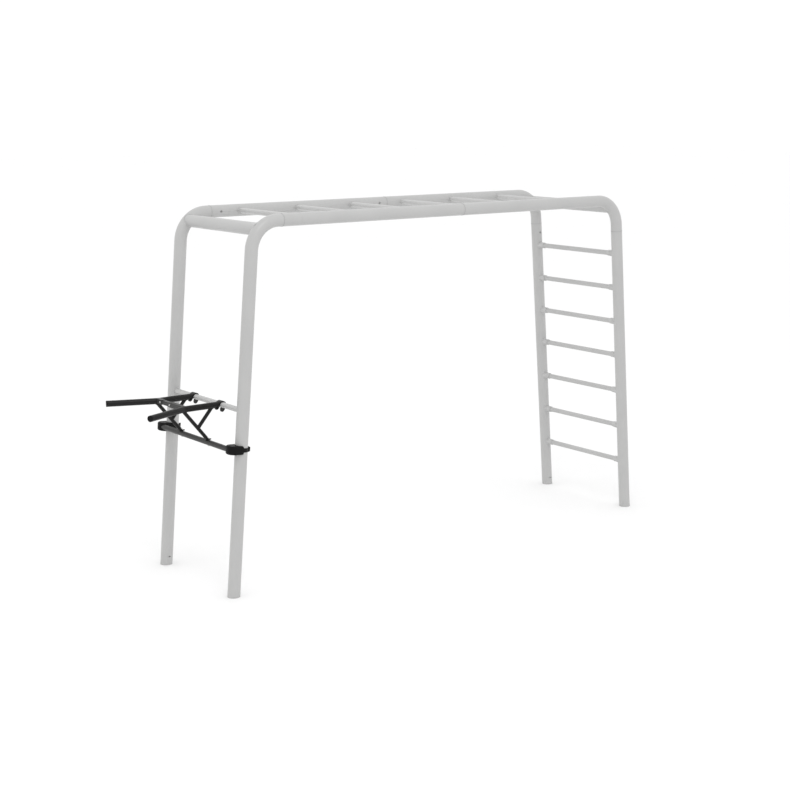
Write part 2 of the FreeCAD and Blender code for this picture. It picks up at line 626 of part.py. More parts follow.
def build_arms():
    """Dip bars, level from the hooks and then bent outwards, with their end caps.

    Returns a solid a little thicker than the near bar, which shapes what is welded to it.
    """
    hook_inner = D["rung_od"] + 2 * D["hook_fit"]
    add_names(arm_start_x=D["tumble_x"] - D["arm_cope_start"], arm_y=-D["arm_half_gap"],
              arm_envelope=D["arm_od"] + 2 * D["weld_fit"], hook_inner=hook_inner,
              hook_outer=hook_inner + 2 * D["hook_thickness"])
    cope = hook_form("(Dims.hook_outer + 2 * Dims.weld_fit)", "(2 * Dims.arm_od)")
    pair(cut(arm_along("dip_arm", "arm_od", "arm_id"), on_tumble_bar(cope)), "dip_arm")
    heading = math.degrees(math.atan2(D["arm_end_y"] - D["arm_y"],
                                      D["arm_end_x"] - D["arm_bend_x"]))
    outwards = Rotation(Vector(0, 0, 1), heading) * Rotation(Vector(0, 1, 0), 90)
    inwards = Rotation(Vector(0, 0, 1), heading + 180) * Rotation(Vector(0, 1, 0), 90)
    end = {"x": "Dims.arm_end_x", "y": "Dims.arm_end_y", "z": "Dims.arm_z"}
    cap = fuse(cylinder("Dims.arm_od / 2", "Dims.arm_cap_length", rotation=outwards, **end),
               cylinder("Dims.arm_id / 2 - Dims.arm_plug_fit", "Dims.arm_plug_depth",
                        rotation=inwards, **end))
    keep(group(cap, mirror(cap)), "dip_arm_caps")
    return arm_along("arm_envelope", "arm_envelope", None)


def hook_form(across, width):
    """A solid inverted U round the tumble bar's axis, still upright and at the origin."""
    start = f"-Dims.arm_half_gap - {width} / 2"
    return fuse(cylinder(f"{across} / 2", width, y=start, rotation=TO_INSIDE),
                box(across, width, "Dims.hook_drop", x=f"-{across} / 2", y=start,
                    z="-Dims.hook_drop"))


def on_tumble_bar(obj):
    """Put a hook's shape on the tumble bar, its open side turned towards the dip bars."""
    return place(obj, x="Dims.tumble_x", z="Dims.tumble_z", turn="Dims.hook_turn")


def build_hooks():
    """Hooks: strips bent over the tumble bar, their two hanging ends rounded."""
    strip = cut(hook_form("Dims.hook_outer", "Dims.hook_width"),
                hook_form("Dims.hook_inner", "Dims.hook_width"))
    tip = "Dims.hook_width / 2 - Dims.hook_drop"
    rounding = fuse(cylinder("Dims.hook_width / 2", "2 * Dims.hook_outer",
                             x="-Dims.hook_outer", y="-Dims.arm_half_gap", z=tip,
                             rotation=Rotation(Vector(0, 1, 0), 90)),
                    box("2 * Dims.hook_outer", "Dims.hook_width", "2 * Dims.hook_outer",
                        x="-Dims.hook_outer", y="-Dims.arm_half_gap - Dims.hook_width / 2",
                        z=tip))
    pair(on_tumble_bar(common(strip, rounding)), "hook")


def strut_between(name, start, end, y):
    """A strut's tube, its bore and a slightly thicker form of it, between two named points."""
    (x1, z1), (x2, z2) = start, end
    add_names(**{f"{name}_length": math.hypot(D[x2] - D[x1], D[z2] - D[z1])})
    heading = Rotation(Vector(0, 0, 1), Vector(D[x2] - D[x1], 0, D[z2] - D[z1]))
    spot = {"x": f"Dims.{x1}", "y": y, "z": f"Dims.{z1}", "rotation": heading}
    return (cylinder("Dims.strut_od / 2", f"Dims.{name}_length", **spot),
            cylinder("Dims.strut_id / 2", f"Dims.{name}_length", **spot),
            cylinder("Dims.strut_od / 2 + Dims.weld_fit", f"Dims.{name}_length", **spot))


def build_struts(arm_envelope):
    """Main struts from the bars' bends down to the lower tube, and short struts to them."""
    top_of_tube = D["lower_tube_z"] + D["rung_od"] / 2
    add_names(main_foot_z=top_of_tube + D["main_foot_rise"],
              tab_z=top_of_tube + D["weld_fit"],
              strut_bolt_x=D["lower_tube_x"] + D["strut_bolt_ahead"])
    y = "-Dims.arm_half_gap"
    main, main_bore, main_form = strut_between("main_strut", ("main_top_x", "arm_z"),
                                               ("main_foot_x", "main_foot_z"), y)
    # the foot is pressed flat: a tab that lies on the lower tube, under the bolt
    half_width = "Dims.strut_tab_width / 2"
    tab = fuse(box("Dims.strut_tab_back + Dims.strut_tab_front", "Dims.strut_tab_width",
                   "Dims.strut_tab_thickness", x="Dims.lower_tube_x - Dims.strut_tab_back",
                   y=f"{y} - {half_width}", z="Dims.tab_z"),
               cylinder(half_width, "Dims.strut_tab_thickness",
                        x="Dims.lower_tube_x + Dims.strut_tab_front", y=y, z="Dims.tab_z"))
    foot = box("Dims.strut_foot_length", "Dims.strut_od", "Dims.strut_foot_height",
               x="Dims.main_foot_x - Dims.strut_foot_length / 2",
               y=f"{y} - Dims.strut_od / 2", z="Dims.tab_z")
    bolt_hole = cylinder("Dims.bolt_hole / 2", "6 * Dims.strut_tab_thickness",
                         x="Dims.strut_bolt_x", y=y,
                         z="Dims.tab_z - 2 * Dims.strut_tab_thickness")
    solid_strut = fuse(cut(main, main_bore), tab, foot)
    pair(cut(solid_strut, fuse(arm_envelope, bolt_hole)), "main_strut")
    short, short_bore, _ = strut_between("short_strut", ("short_top_x", "arm_z"),
                                         ("short_foot_x", "short_foot_z"), y)
    pair(cut(cut(short, short_bore), fuse(main_form, arm_envelope)), "short_strut")


def bolt_through(place_x, place_y, place_z, rotation, head, head_height, shank, grip, nut):
    """A bolt whose head sits above its place, with its nut below what it grips."""
    spot = {"x": place_x, "y": place_y, "z": place_z}
    back = rotation * Rotation(Vector(1, 0, 0), 180)
    bolt = fuse(cylinder(f"{head} / 2", head_height, rotation=rotation, **spot),
                cylinder(f"{shank} / 2", f"{grip} + Dims.seat_fit + {nut}", rotation=back,
                        **spot))
    away = back.multVec(Vector(0, 0, 1))
    far = {axis: f"{spot[axis]} + {part:.0f} * ({grip} + Dims.seat_fit)"
           for axis, part in zip("xyz", away)}
    nut_body = cut(cylinder(f"{head} / 2", nut, rotation=back, **far),
                   cylinder(f"{shank} / 2", nut, rotation=back, **far))
    return [bolt, nut_body]


def build_lower_tube():
    """The lower tube, and the zinc bolts that hold the struts' feet down on it."""
    ring = [cylinder(f"Dims.rung_{size} / 2", "2 * Dims.lower_tube_half",
                     x="Dims.lower_tube_x", y="-Dims.lower_tube_half", z="Dims.lower_tube_z",
                     rotation=TO_INSIDE) for size in ("od", "id")]
    holes = [cylinder("Dims.bolt_hole / 2", "2 * Dims.rung_od", x="Dims.strut_bolt_x",
                      y=f"{side}Dims.arm_half_gap", z="Dims.lower_tube_z - Dims.rung_od")
             for side in ("-", "")]
    keep(cut(ring[0], fuse(ring[1], *holes)), "lower_tube")
    bolts = []
    for side in ("-", ""):
        bolts += bolt_through("Dims.strut_bolt_x", f"{side}Dims.arm_half_gap",
                              "Dims.tab_z + Dims.strut_tab_thickness", Rotation(),
                              "Dims.bolt_head", "Dims.bolt_head_height", "Dims.bolt_shank",
                              "Dims.strut_tab_thickness + Dims.weld_fit + Dims.rung_od",
                              "Dims.bolt_nut_height")
    keep(group(*bolts), "strut_bolts")


def square_tube(depth, height, wall, start, end):
    """A rectangular tube along Y at the cross tie, between two Y places."""
    def bar(trim):
        deep, high = f"({depth} - 2 * {trim})", f"({height} - 2 * {trim})"
        return box(deep, f"{end} - ({start})", high, x=f"Dims.tie_x - {deep} / 2", y=start,
                   z=f"Dims.tie_z - {high} / 2")
    return cut(bar("0"), bar(wall))


def build_cross_tie(arm_envelope):
    """Telescoping tie between the bars: a sleeve, an inner tube and a short far socket."""
    depth, height, wall = "Dims.tie_outer_depth", "Dims.tie_outer_height", "Dims.tie_wall"
    slack = "2 * (Dims.tie_wall + Dims.tie_fit)"
    across = Rotation(Vector(0, 1, 0), -90)
    holes = [cylinder("Dims.tie_bolt_hole / 2", f"2 * {height}", x=f"Dims.tie_x + {height}",
                      y=y, z="Dims.tie_z", rotation=across)
             for y in ("Dims.tie_sleeve_bolt_y", "Dims.tie_lug_y")]
    arm_line = "Dims.arm_half_gap"
    sleeve = square_tube(depth, height, wall, f"-{arm_line}", "Dims.tie_overlap_y")
    socket = square_tube(depth, height, wall, "Dims.tie_lug_y - Dims.tie_lug_half",
                         arm_line)
    inner = square_tube(f"({depth} - {slack})", f"({height} - {slack})", wall,
                        "Dims.tie_sleeve_bolt_y - Dims.tie_inner_lead",
                        "Dims.tie_lug_y + Dims.tie_lug_half")
    keep(cut(sleeve, fuse(arm_envelope, holes[0])), "cross_tie_sleeve")
    keep(cut(socket, fuse(mirror(arm_envelope), holes[1])), "cross_tie_socket")
    keep(cut(inner, fuse(*holes)), "cross_tie_inner")
    bolts = []
    for y in ("Dims.tie_sleeve_bolt_y", "Dims.tie_lug_y"):
        bolts += bolt_through("Dims.tie_x - Dims.tie_outer_depth / 2", y, "Dims.tie_z",
                              across, "Dims.tie_bolt_head", "Dims.tie_bolt_head_height",
                              "Dims.tie_bolt_shank", depth, "Dims.tie_nut_height")
    keep(group(*bolts), "cross_tie_bolts")


# ---------------------------------------------------------------- saddles, straps, buckles

def on_strapped_leg(obj):
    """Place a piece built round the strapped leg: X away from the lower tube, Z up the leg."""
    return place(obj, x="Dims.saddle_s * sin(Dims.leg_splay * 1 deg) - Dims.foot_x",
                 y=NEAR_Y, z="Dims.saddle_s * cos(Dims.leg_splay * 1 deg)",
                 turn="Dims.leg_splay")


def rectangle(sketch, left, low, right, high):
    """A rectangle between four named coordinates."""
    x1, y1, x2, y2 = [signed(name) for name in (left, low, right, high)]
    corners = [Vector(x1, y1, 0), Vector(x2, y1, 0), Vector(x2, y2, 0), Vector(x1, y2, 0)]
    lines = [sketch.addGeometry(Part.LineSegment(corners[i], corners[(i + 1) % 4]))
             for i in range(4)]
    for i in range(4):
        sketch.addConstraint(Sketcher.Constraint("Coincident", lines[i], 2,
                                                 lines[(i + 1) % 4], 1))
        sketch.addConstraint(Sketcher.Constraint("Vertical" if i % 2 else "Horizontal",
                                                 lines[i]))
    for line, kind, name in ((0, "DistanceX", left), (0, "DistanceY", low),
                             (2, "DistanceX", right), (2, "DistanceY", high)):
        constrain(sketch, kind, -1, 1, lines[line], 1, name)


def upright_edges(body, x, y):
    """Names of the body's edges that stand upright at a place in plan."""
    names = []
    for index, edge in enumerate(body.Shape.Edges, start=1):
        ends = [vertex.Point for vertex in edge.Vertexes]
        if len(ends) == 2 and all(abs(p.x - x) < 0.1 and abs(p.y - y) < 0.1 for p in ends):
            names.append(f"Edge{index}")
    return names


def rim_edges(body, half_height):
    """Names of the body's edges that lie in its top or its bottom plane."""
    return [f"Edge{index}" for index, edge in enumerate(body.Shape.Edges, start=1)
            if all(abs(abs(vertex.Point.z) - half_height) < 0.1 for vertex in edge.Vertexes)
            and abs(abs(edge.CenterOfMass.z) - half_height) < 0.1]


def fillet(body, edges, radius):
    solid = body.Tip
    feature = body.newObject("PartDesign::Fillet", "fillet")
    feature.Base = (solid, edges)
    bind(feature, Radius=f"Dims.{radius}")
    doc.recompute()


def build_saddles():
    """Plastic saddles on the lower tube's ends, each hugging the front half of a leg."""
    saddle = new_body("saddle")
    outline = sketch_on(saddle, "XY_Plane")
    rectangle(outline, "saddle_front_x", "-saddle_outer", "saddle_back_x", "saddle_inner")
    pad(saddle, outline, "2 * Dims.saddle_half_height", symmetric=True)
    doc.recompute()
    for x, y, radius in (("saddle_front_x", -D["saddle_outer"], "saddle_front_round"),
                         ("saddle_front_x", D["saddle_inner"], "saddle_front_round"),
                         ("saddle_back_x", D["saddle_inner"], "saddle_back_round"),
                         ("saddle_back_x", -D["saddle_outer"], "saddle_back_round")):
        fillet(saddle, upright_edges(saddle, D[x], y), radius)
    fillet(saddle, rim_edges(saddle, D["saddle_half_height"]), "saddle_rim_round")
    leg_room = sketch_on(saddle, "XY_Plane")
    circle(leg_room, "saddle_bore")
    pocket(saddle, leg_room, "4 * Dims.saddle_half_height", symmetric=True)
    tube_bore = sketch_on(saddle, "XZ_Plane", z="-Dims.saddle_inner")
    circle(tube_bore, "saddle_tube_bore", "saddle_tube_x")
    pocket(saddle, tube_bore, "Dims.saddle_tube_depth", reverse=True)
    slots = sketch_on(saddle, "YZ_Plane", z="Dims.saddle_back_x")
    for low, high in (("slot_inside", "slot_outside"), ("-slot_outside", "-slot_inside")):
        rectangle(slots, low, "-slot_half_height", high, "slot_half_height")
    pocket(saddle, slots, "Dims.slot_depth")
    on_strapped_leg(saddle)
    pair(saddle, "saddle")


def build_straps():
    """Webbing straps: each runs out of one slot, round the back of the leg and into the other."""
    radius = "(Dims.tube_od / 2 + Dims.strap_fit)"
    half = "Dims.strap_width / 2"
    low = f"-{half}"
    band = cut(cylinder(f"{radius} + Dims.strap_thickness", "Dims.strap_width", z=low),
               cylinder(radius, "Dims.strap_width", z=low))
    front = box("2 * Dims.tube_od", "4 * Dims.tube_od", "2 * Dims.strap_width",
                x="-2 * Dims.tube_od", y="-2 * Dims.tube_od", z="-Dims.strap_width")
    runs = [box("Dims.strap_run", "Dims.strap_thickness", "Dims.strap_width",
                x="-Dims.strap_run", y=y, z=low)
            for y in (radius, f"-{radius} - Dims.strap_thickness")]
    strap = on_strapped_leg(fuse(cut(band, front), *runs))
    pair(strap, "strap")


def build_buckles():
    """Cam buckles behind the legs: a frame with two ears, a pin and a lever with its cam."""
    half_wide, half_long = "Dims.buckle_width / 2", "Dims.buckle_length / 2"
    plate_x = "(Dims.tube_od / 2 + Dims.strap_fit + Dims.strap_thickness + Dims.buckle_fit)"
    plate = box("Dims.buckle_thickness", "Dims.buckle_length", "Dims.buckle_width",
                x=plate_x, y=f"-{half_long}", z=f"-{half_wide}")
    pin_x = f"({plate_x} + Dims.buckle_thickness + Dims.cam_radius + Dims.cam_gap)"
    pin_y = "(Dims.buckle_length / 2 - Dims.pin_inset)"
    ears = []
    for z in (f"-{half_wide}", f"{half_wide} - Dims.ear_thickness"):
        ears.append(box(f"{pin_x} - {plate_x}", "2 * Dims.ear_half", "Dims.ear_thickness",
                        x=plate_x, y=f"{pin_y} - Dims.ear_half", z=z))
        ears.append(cylinder("Dims.ear_half", "Dims.ear_thickness", x=pin_x, y=pin_y, z=z))
    bore = cylinder("Dims.pin_diameter / 2 + Dims.pin_fit", "2 * Dims.buckle_width",
                    x=pin_x, y=pin_y, z="-Dims.buckle_width")
    pair(on_strapped_leg(cut(fuse(plate, *ears), bore)), "buckle_frame")

    cam_half = "(Dims.buckle_width / 2 - Dims.ear_thickness - Dims.lever_gap)"
    barrel = cylinder("Dims.cam_radius", f"2 * {cam_half}", x=pin_x, y=pin_y,
                      z=f"-{cam_half}")
    handle = box("Dims.lever_thickness", "Dims.lever_length", f"2 * {cam_half}",
                 x=f"{pin_x} + Dims.cam_radius - Dims.lever_thickness",
                 y=f"{pin_y} - Dims.lever_length", z=f"-{cam_half}")
    lever_bore = cylinder("Dims.pin_diameter / 2 + Dims.pin_fit", "2 * Dims.buckle_width",
                          x=pin_x, y=pin_y, z="-Dims.buckle_width")
    pair(on_strapped_leg(cut(fuse(barrel, handle), lever_bore)), "buckle_lever")

    pin = on_strapped_leg(fuse(
        cylinder("Dims.pin_diameter / 2", "Dims.buckle_width + 2 * Dims.pin_overhang",
                 x=pin_x, y=pin_y, z=f"-{half_wide} - Dims.pin_overhang"),
        cylinder("Dims.pin_diameter / 2 + Dims.pin_head_rim", "Dims.pin_overhang",
                 x=pin_x, y=pin_y, z=f"{half_wide} + Dims.seat_fit")))
    keep(group(pin, mirror(pin)), "buckle_pins")


def main():
    build_left_legs()
    build_mid_rails()
    build_right_rails()
    build_right_legs()
    build_crossbars()
    build_rungs()
    build_collars()
    build_seams()
    build_feet()
    arm_envelope = build_arms()
    build_hooks()
    build_struts(arm_envelope)
    build_lower_tube()
    build_cross_tie(arm_envelope)
    build_saddles()
    build_straps()
    build_buckles()
    write_parts()


def write_parts():
    """Check every object and write one STEP file for each sub-part."""
    doc.recompute()
    for obj in doc.Objects:
        if "Invalid" in obj.State or "Error" in obj.State:
            raise ValueError(f"{obj.Name} ({obj.Label}) failed: {obj.State}")
    os.makedirs("parts", exist_ok=True)
    for obj in parts:
        if obj.Shape.isNull() or not obj.Shape.isValid() or not obj.Shape.Solids:
            raise ValueError(f"{obj.Label} has no valid solid")
        obj.Shape.exportStep(f"parts/{obj.Label}.step")
        print(f"{obj.Label}: {len(obj.Shape.Solids)} solids, {obj.Shape.Volume / 1000:.1f} cm3")


main()
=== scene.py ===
"""Looks of the garden monkey bars: finishes, small hardware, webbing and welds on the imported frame.

Metres, +Z up, in the frame's own axes. "near" is -Y. Pieces that are the same on both sides
are built for the near side and mirrored in Y.
"""

import json
import math

import bmesh
import bpy
from mathutils import Matrix, Vector


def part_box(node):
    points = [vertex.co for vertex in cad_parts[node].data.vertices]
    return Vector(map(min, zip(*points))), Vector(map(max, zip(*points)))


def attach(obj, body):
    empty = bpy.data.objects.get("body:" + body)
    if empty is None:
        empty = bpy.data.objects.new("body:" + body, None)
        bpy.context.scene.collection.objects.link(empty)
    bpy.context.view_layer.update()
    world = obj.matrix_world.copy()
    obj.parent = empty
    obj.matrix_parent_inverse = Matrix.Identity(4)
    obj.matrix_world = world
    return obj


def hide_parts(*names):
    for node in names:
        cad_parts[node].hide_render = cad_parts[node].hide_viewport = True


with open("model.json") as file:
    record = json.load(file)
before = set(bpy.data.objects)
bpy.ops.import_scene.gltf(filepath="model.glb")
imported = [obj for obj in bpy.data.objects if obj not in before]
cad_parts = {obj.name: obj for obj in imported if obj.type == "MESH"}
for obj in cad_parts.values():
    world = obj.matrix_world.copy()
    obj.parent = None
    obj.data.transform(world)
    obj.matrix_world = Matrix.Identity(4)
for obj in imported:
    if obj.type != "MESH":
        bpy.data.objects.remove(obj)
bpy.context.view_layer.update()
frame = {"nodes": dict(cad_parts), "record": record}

# Sizes of the design, in metres and radians
TUBE_R = 0.038
ARM_R = 0.0185
STRUT_R = 0.011
BEND_R = 0.180
SPLAY = math.radians(4.68)
HALF_GAUGE = 0.4025
ARM_Z = (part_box("dip_arm_near")[0].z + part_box("dip_arm_near")[1].z) / 2
ARM_Y = (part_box("hook_near")[0].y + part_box("hook_near")[1].y) / 2
TUMBLE_X = (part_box("tumble_bar")[0].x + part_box("tumble_bar")[1].x) / 2
TUMBLE_Z = (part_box("tumble_bar")[0].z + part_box("tumble_bar")[1].z) / 2
HOOK_TURN = math.radians(24)
HOOK_R = 0.0239
MAIN_STRUT = (Vector((-1.655, 0, 0.9145)), Vector((-1.813, 0, ARM_Z)))
SHORT_STRUT = (Vector((-1.707, 0, 0.983)), Vector((-1.604, 0, ARM_Z)))

# The strapped leg's own axes start here, and the strap and buckle are placed along them
SADDLE_X, SADDLE_Z = -1.56825, 0.87989
STRAP_R = 0.0394
STRAP_HALF = 0.0125
SLOT_X = 0.027
PLATE_X = 0.0407
PIN_X, PIN_Y = 0.0472, 0.011

SIDES = (("near", 1), ("far", -1))
ROUND = 48  # sides of a turned piece


# ---------------------------------------------------------------- materials

class Shader:
    """One procedural material: a Principled shader and the texture nodes that feed it."""

    def __init__(self, name, **inputs):
        self.material = bpy.data.materials.new(name)
        self.material.use_nodes = True
        self.tree = self.material.node_tree
        self.surface = self.tree.nodes["Principled BSDF"]
        for label, value in inputs.items():
            self.surface.inputs[label.replace("_", " ")].default_value = value
        self.place = self.node("ShaderNodeTexCoord").outputs["Object"]

    def node(self, kind, **settings):
        made = self.tree.nodes.new(kind)
        for label, value in settings.items():
            setattr(made, label, value)
        return made

    def link(self, output, target):
        self.tree.links.new(output, target)

    def noise(self, scale, detail=4.0, roughness=0.55, stretch=(1, 1, 1)):
        """Noise in the part's own space; stretch makes it finer along an axis."""
        mapping = self.node("ShaderNodeMapping")
        mapping.inputs["Scale"].default_value = stretch
        self.link(self.place, mapping.inputs["Vector"])
        texture = self.node("ShaderNodeTexNoise")
        texture.inputs["Scale"].default_value = scale
        texture.inputs["Detail"].default_value = detail
        texture.inputs["Roughness"].default_value = roughness
        self.link(mapping.outputs["Vector"], texture.inputs["Vector"])
        return texture.outputs["Fac"]

    def ramp(self, factor, stops):
        """A colour ramp over (position, grey or colour) stops."""
        ramp = self.node("ShaderNodeValToRGB")
        elements = ramp.color_ramp.elements
        while len(elements) < len(stops):
            elements.new(0.5)
        for element, (position, colour) in zip(elements, stops):
            element.position = position
            element.color = (*colour, 1) if isinstance(colour, tuple) else (colour,) * 3 + (1,)
        self.link(factor, ramp.inputs["Fac"])
        return ramp.outputs["Color"]

    def spread(self, factor, low, high):
        """A factor between 0.3 and 0.7 mapped to a range."""
        span = self.node("ShaderNodeMapRange")
        for label, value in (("From Min", 0.3), ("From Max", 0.7), ("To Min", low),
                             ("To Max", high)):
            span.inputs[label].default_value = value
        self.link(factor, span.inputs["Value"])
        return span.outputs["Result"]

    def bump(self, *layers):
        """Bump layers of (height, strength, depth in metres), one on the other."""
        normal = None
        for height, strength, depth in layers:
            bump = self.node("ShaderNodeBump")
            bump.inputs["Strength"].default_value = strength
            bump.inputs["Distance"].default_value = depth
            self.link(height, bump.inputs["Height"])
            if normal:
                self.link(normal, bump.inputs["Normal"])
            normal = bump.outputs["Normal"]
        self.link(normal, self.surface.inputs["Normal"])

    def colour(self, output):
        self.link(output, self.surface.inputs["Base Color"])

    def rough(self, output):
        self.link(output, self.surface.inputs["Roughness"])


def shades(colour, *factors):
    return [tuple(channel * factor for channel in colour) for factor in factors]


def powder_coat(name, colour, low, high, shine=0.5, scuff=None):
    """Powder coat: fine orange peel, a faint cloudiness, and scuffs where it is handled."""
    shader = Shader(name, Specular_IOR_Level=shine)
    dark, light = shades(colour, 0.975, 1.02)
    cloud = shader.ramp(shader.noise(5.0, 3.0), [(0.3, dark), (0.7, light)])
    if scuff:
        mask = shader.ramp(shader.noise(60.0, 6.0, 0.7, (0.35, 1, 1)), [(0.63, 0.0), (0.7, 1.0)])
        mix = shader.node("ShaderNodeMix", data_type="RGBA")
        shader.link(mask, mix.inputs["Factor"])
        shader.link(cloud, mix.inputs["A"])
        mix.inputs["B"].default_value = (*scuff, 1)
        cloud = mix.outputs["Result"]
    shader.colour(cloud)
    shader.rough(shader.spread(shader.noise(40.0, 4.0), low, high))
    shader.bump((shader.noise(700.0, 2.0), 0.008, 0.0002), (shader.noise(120.0, 2.0), 0.006, 0.0004))
    return shader.material


def zinc(name, colour, low, high):
    """Zinc-plated or galvanised steel: mottled crystals and fine draw lines."""
    shader = Shader(name, Metallic=1.0)
    cells = shader.node("ShaderNodeTexVoronoi")
    cells.inputs["Scale"].default_value = 160.0
    shader.link(shader.place, cells.inputs["Vector"])
    dark, light = shades(colour, 0.88, 1.08)
    shader.colour(shader.ramp(cells.outputs["Distance"], [(0.1, dark), (0.8, light)]))
    shader.rough(shader.spread(shader.noise(90.0, 5.0), low, high))
    shader.bump((shader.noise(500.0, 3.0, 0.6, (1, 0.06, 1)), 0.08, 0.0002))
    return shader.material


def moulded(name, colour, low, high, grain, shine=0.4):
    """Moulded plastic: spark-eroded grain and slightly uneven sheen."""
    shader = Shader(name, Specular_IOR_Level=shine)
    dark, light = shades(colour, 0.92, 1.1)
    shader.colour(shader.ramp(shader.noise(30.0, 3.0), [(0.3, dark), (0.7, light)]))
    shader.rough(shader.spread(shader.noise(70.0, 4.0), low, high))
    shader.bump((shader.noise(grain, 3.0), 0.12, 0.0003))
    return shader.material


def webbing(name, colour):
    """Polyester webbing: fine weft over the modelled ribs, soft sheen and paler fuzz."""
    shader = Shader(name, Roughness=0.85, Sheen_Weight=0.08, Specular_IOR_Level=0.12)
    dark, light = shades(colour, 0.7, 1.9)
    shader.colour(shader.ramp(shader.noise(420.0, 5.0, 0.7), [(0.35, dark), (0.7, light)]))
    weft = shader.node("ShaderNodeTexWave", wave_type="RINGS", rings_direction="Z")
    weft.inputs["Scale"].default_value = 260.0
    weft.inputs["Distortion"].default_value = 1.5
    shader.link(shader.place, weft.inputs["Vector"])
    shader.bump((weft.outputs["Fac"], 0.35, 0.0003), (shader.noise(1500.0, 2.0), 0.3, 0.0002))
    return shader.material


MATERIALS = {
    "frame_paint": powder_coat("frame_paint", (0.455, 0.455, 0.452), 0.30, 0.40),
    "rung_paint": powder_coat("rung_paint", (0.475, 0.475, 0.472), 0.20, 0.28),
    "bare_steel": zinc("bare_steel", (0.60, 0.60, 0.595), 0.32, 0.48),
    "ring_rubber": moulded("ring_rubber", (0.36, 0.36, 0.36), 0.6, 0.8, 900.0),
    "zinc_steel": zinc("zinc_steel", (0.60, 0.60, 0.59), 0.28, 0.42),
    "dark_zinc": zinc("dark_zinc", (0.30, 0.30, 0.295), 0.35, 0.5),
    "foot_plastic": moulded("foot_plastic", (0.455, 0.455, 0.452), 0.5, 0.65, 700.0),
    "grey_plastic": moulded("grey_plastic", (0.47, 0.47, 0.467), 0.35, 0.5, 800.0),
    "black_plastic": moulded("black_plastic", (0.006, 0.006, 0.006), 0.4, 0.55, 650.0, 0.1),
    "black_webbing": webbing("black_webbing", (0.006, 0.006, 0.0062)),
    "black_paint": powder_coat("black_paint", (0.009, 0.009, 0.0089), 0.28, 0.40, 0.2,
                               scuff=(0.025, 0.025, 0.025)),
    "dark_grey_paint": powder_coat("dark_grey_paint", (0.036, 0.036, 0.0355), 0.28, 0.42, 0.22,
                                   scuff=(0.06, 0.06, 0.06)),
}


def finish_nodes():
    """Give every CAD node the finish of its own material slot."""
    slot_of = {row["node"]: row["material_slot"] for row in frame["record"]["subparts"]}
    for name, obj in frame["nodes"].items():
        obj.data.materials.clear()
        obj.data.materials.append(MATERIALS[slot_of[name]])


# ---------------------------------------------------------------- mesh building

def make_piece(name, mesh_data, slot, body="frame", replaces=(), bevel=None):
    """A finished piece from a bmesh: shaded, given a material, and riding on its body."""
    mesh = bpy.data.meshes.new(name)
    bmesh.ops.recalc_face_normals(mesh_data, faces=mesh_data.faces)
    mesh_data.to_mesh(mesh)
    mesh_data.free()
    mesh.materials.append(MATERIALS[slot])
    mesh.shade_smooth()
    mesh.set_sharp_from_angle(angle=math.radians(35))
    obj = bpy.data.objects.new(name, mesh)
    bpy.context.scene.collection.objects.link(obj)
    if bevel:
        edge = obj.modifiers.new("edges", "BEVEL")
        edge.width, edge.segments, edge.limit_method = bevel, 3, "ANGLE"
        edge.angle_limit = math.radians(40)
        edge.harden_normals = True
    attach(obj, body)
    if replaces:
        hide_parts(*replaces)
    return obj


def lathe(target, outline, where, sides=ROUND, twist=0.0):
    """Turn an outline of (radius, height) points about Z and put it at a placement."""
    rings = []
    for radius, height in outline:
        rings.append([target.verts.new(where @ Vector((
            radius * math.cos(math.tau * i / sides + twist),
            radius * math.sin(math.tau * i / sides + twist), height)))
            for i in range(sides)])
    for lower, upper in zip(rings, rings[1:]):
        for i in range(sides):
            after = (i + 1) % sides
            target.faces.new((lower[i], lower[after], upper[after], upper[i]))
    target.faces.new(rings[0][::-1])
    target.faces.new(rings[-1])


def arc(centre, radius, start, end, steps=6):
    """Points of an outline's round stretch, its angles in degrees."""
    turns = [math.radians(start + (end - start) * i / steps) for i in range(steps + 1)]
    return [(centre[0] + radius * math.cos(t), centre[1] + radius * math.sin(t)) for t in turns]


def aimed(origin, direction):
    """A placement at a point with its Z along a direction."""
    return Matrix.Translation(origin) @ direction.to_track_quat("Z", "Y").to_matrix().to_4x4()


def islands(node):
    """(lowest, highest) corners of each group of touching solids in a CAD node."""
    mesh = frame["nodes"][node].data
    key = [tuple(round(c, 5) for c in v.co) for v in mesh.vertices]
    leader = {k: k for k in key}

    def find(k):
        while leader[k] != k:
            leader[k] = leader[leader[k]]
            k = leader[k]
        return k

    for edge in mesh.edges:
        leader[find(key[edge.vertices[0]])] = find(key[edge.vertices[1]])
    solids = {}
    for k in leader:
        solids.setdefault(find(k), []).append(k)
    return [(Vector(map(min, *points)), Vector(map(max, *points)))
            for points in solids.values()]


def sweep(target, path, section, closed=False, ups=None):
    """Sweep a closed section of (across, up) points along a path; ups steer its upright."""
    rings = []
    count = len(path)
    for i, point in enumerate(path):
        before = path[(i - 1) % count] if closed or i else path[0]
        after = path[(i + 1) % count] if closed or i < count - 1 else path[-1]
        along = (after - before).normalized()
        up = ups[i] - along * along.dot(ups[i])
        up.normalize()
        across = along.cross(up)
        shape = section(i) if callable(section) else section
        rings.append([target.verts.new(point + across * a + up * u) for a, u in shape])
    pairs = list(zip(rings, rings[1:])) + ([(rings[-1], rings[0])] if closed else [])
    size = len(rings[0])
    for first, second in pairs:
        for j in range(size):
            k = (j + 1) % size
            target.faces.new((first[j], first[k], second[k], second[j]))
    if not closed:
        target.faces.new(rings[0][::-1])
        target.faces.new(rings[-1])


# ---------------------------------------------------------------- screws and bolts

def hexagon(across_flats):
    """The corner radius of a hexagon of a given width across its flats."""
    return across_flats / math.sqrt(3)


